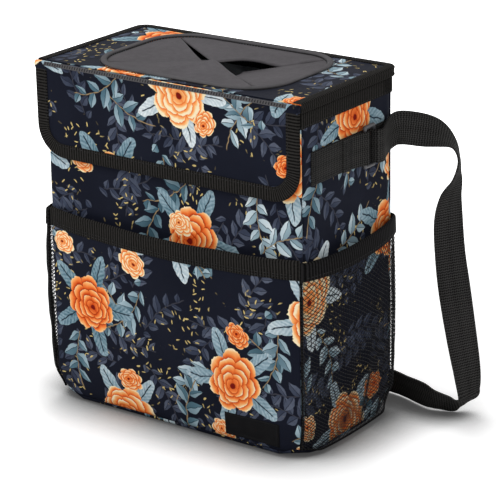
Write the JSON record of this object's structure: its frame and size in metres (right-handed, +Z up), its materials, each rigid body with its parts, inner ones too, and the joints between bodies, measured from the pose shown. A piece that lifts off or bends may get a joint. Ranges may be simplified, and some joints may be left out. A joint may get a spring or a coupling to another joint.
{
  "type": "car trash bin",
  "caption": "Boxy fabric car trash bin with a hinged lid, a petal opening, a front flap, a front pocket, net side pockets and a strap.",
  "frame": {"origin": "centre of the base, on the surface it stands on", "axes": "+X towards the right side seen from the front, -Y towards the front pocket and flap, +Z up"},
  "size_m": [0.3518, 0.1728, 0.2716],
  "materials": {
    "printed_cloth": "satin woven polyester with a flower print",
    "woven_tape": "ribbed black tape",
    "net": "black knitted net",
    "webbing": "ribbed black webbing",
    "stretch_cloth": "matt grey stretch cloth",
    "piping": "grey piping",
    "liner": "smooth waterproof film",
    "board": "stiff foam board",
    "ring_plastic": "moulded dark grey plastic",
    "patch": "soft dark patch",
    "hook_loop": "hook and loop tape"
  },
  "bodies": {
    "root": {"base_panel": "printed_cloth", "front_panel": "printed_cloth", "back_panel": "printed_cloth", "left_panel": "printed_cloth", "right_panel": "printed_cloth", "base_board": "board", "front_board": "board", "back_board": "board", "left_board": "board", "right_board": "board", "inner_liner": "liner", "rim_band": "woven_tape", "front_pocket": "printed_cloth", "front_pocket_binding": "woven_tape", "label_patch": "patch", "left_net": "net", "right_net": "net", "left_net_binding": "woven_tape", "right_net_binding": "woven_tape", "left_tab": "webbing", "right_tab": "webbing", "shoulder_strap": "webbing", "loop_strip": "hook_loop", "lid_hinge_tape": "woven_tape"},
    "left_ring": {"left_ring": "ring_plastic"},
    "right_ring": {"right_ring": "ring_plastic"},
    "lid": {"lid_panel": "printed_cloth", "lid_board": "board", "lid_lining": "liner", "lid_binding": "woven_tape", "opening_piping": "piping", "left_petal": "stretch_cloth", "back_petal": "stretch_cloth", "right_petal": "stretch_cloth", "front_petal": "stretch_cloth"},
    "flap": {"flap_panel": "printed_cloth", "flap_binding": "woven_tape", "hook_strip": "hook_loop"}
  },
  "joints": [
    {"name": "lid_hinge", "type": "hinge", "parent": "root", "child": "lid", "pos_m": [0, 0.065, 0.2624], "axis": [-1, 0, 0], "range_deg": [0, 180]},
    {"name": "flap_hinge", "type": "hinge", "parent": "lid", "child": "flap", "pos_m": [0, -0.0643, 0.2666], "axis": [-1, 0, 0], "range_deg": [0, 160]},
    {"name": "left_ring_swing", "type": "hinge", "parent": "root", "child": "left_ring", "pos_m": [-0.1186, 0.017, 0.2185], "axis": [0, 0, 1], "range_deg": [0, 20]},
    {"name": "right_ring_swing", "type": "hinge", "parent": "root", "child": "right_ring", "pos_m": [0.1186, 0.017, 0.2185], "axis": [0, 0, -1], "range_deg": [0, 20]}
  ]
}
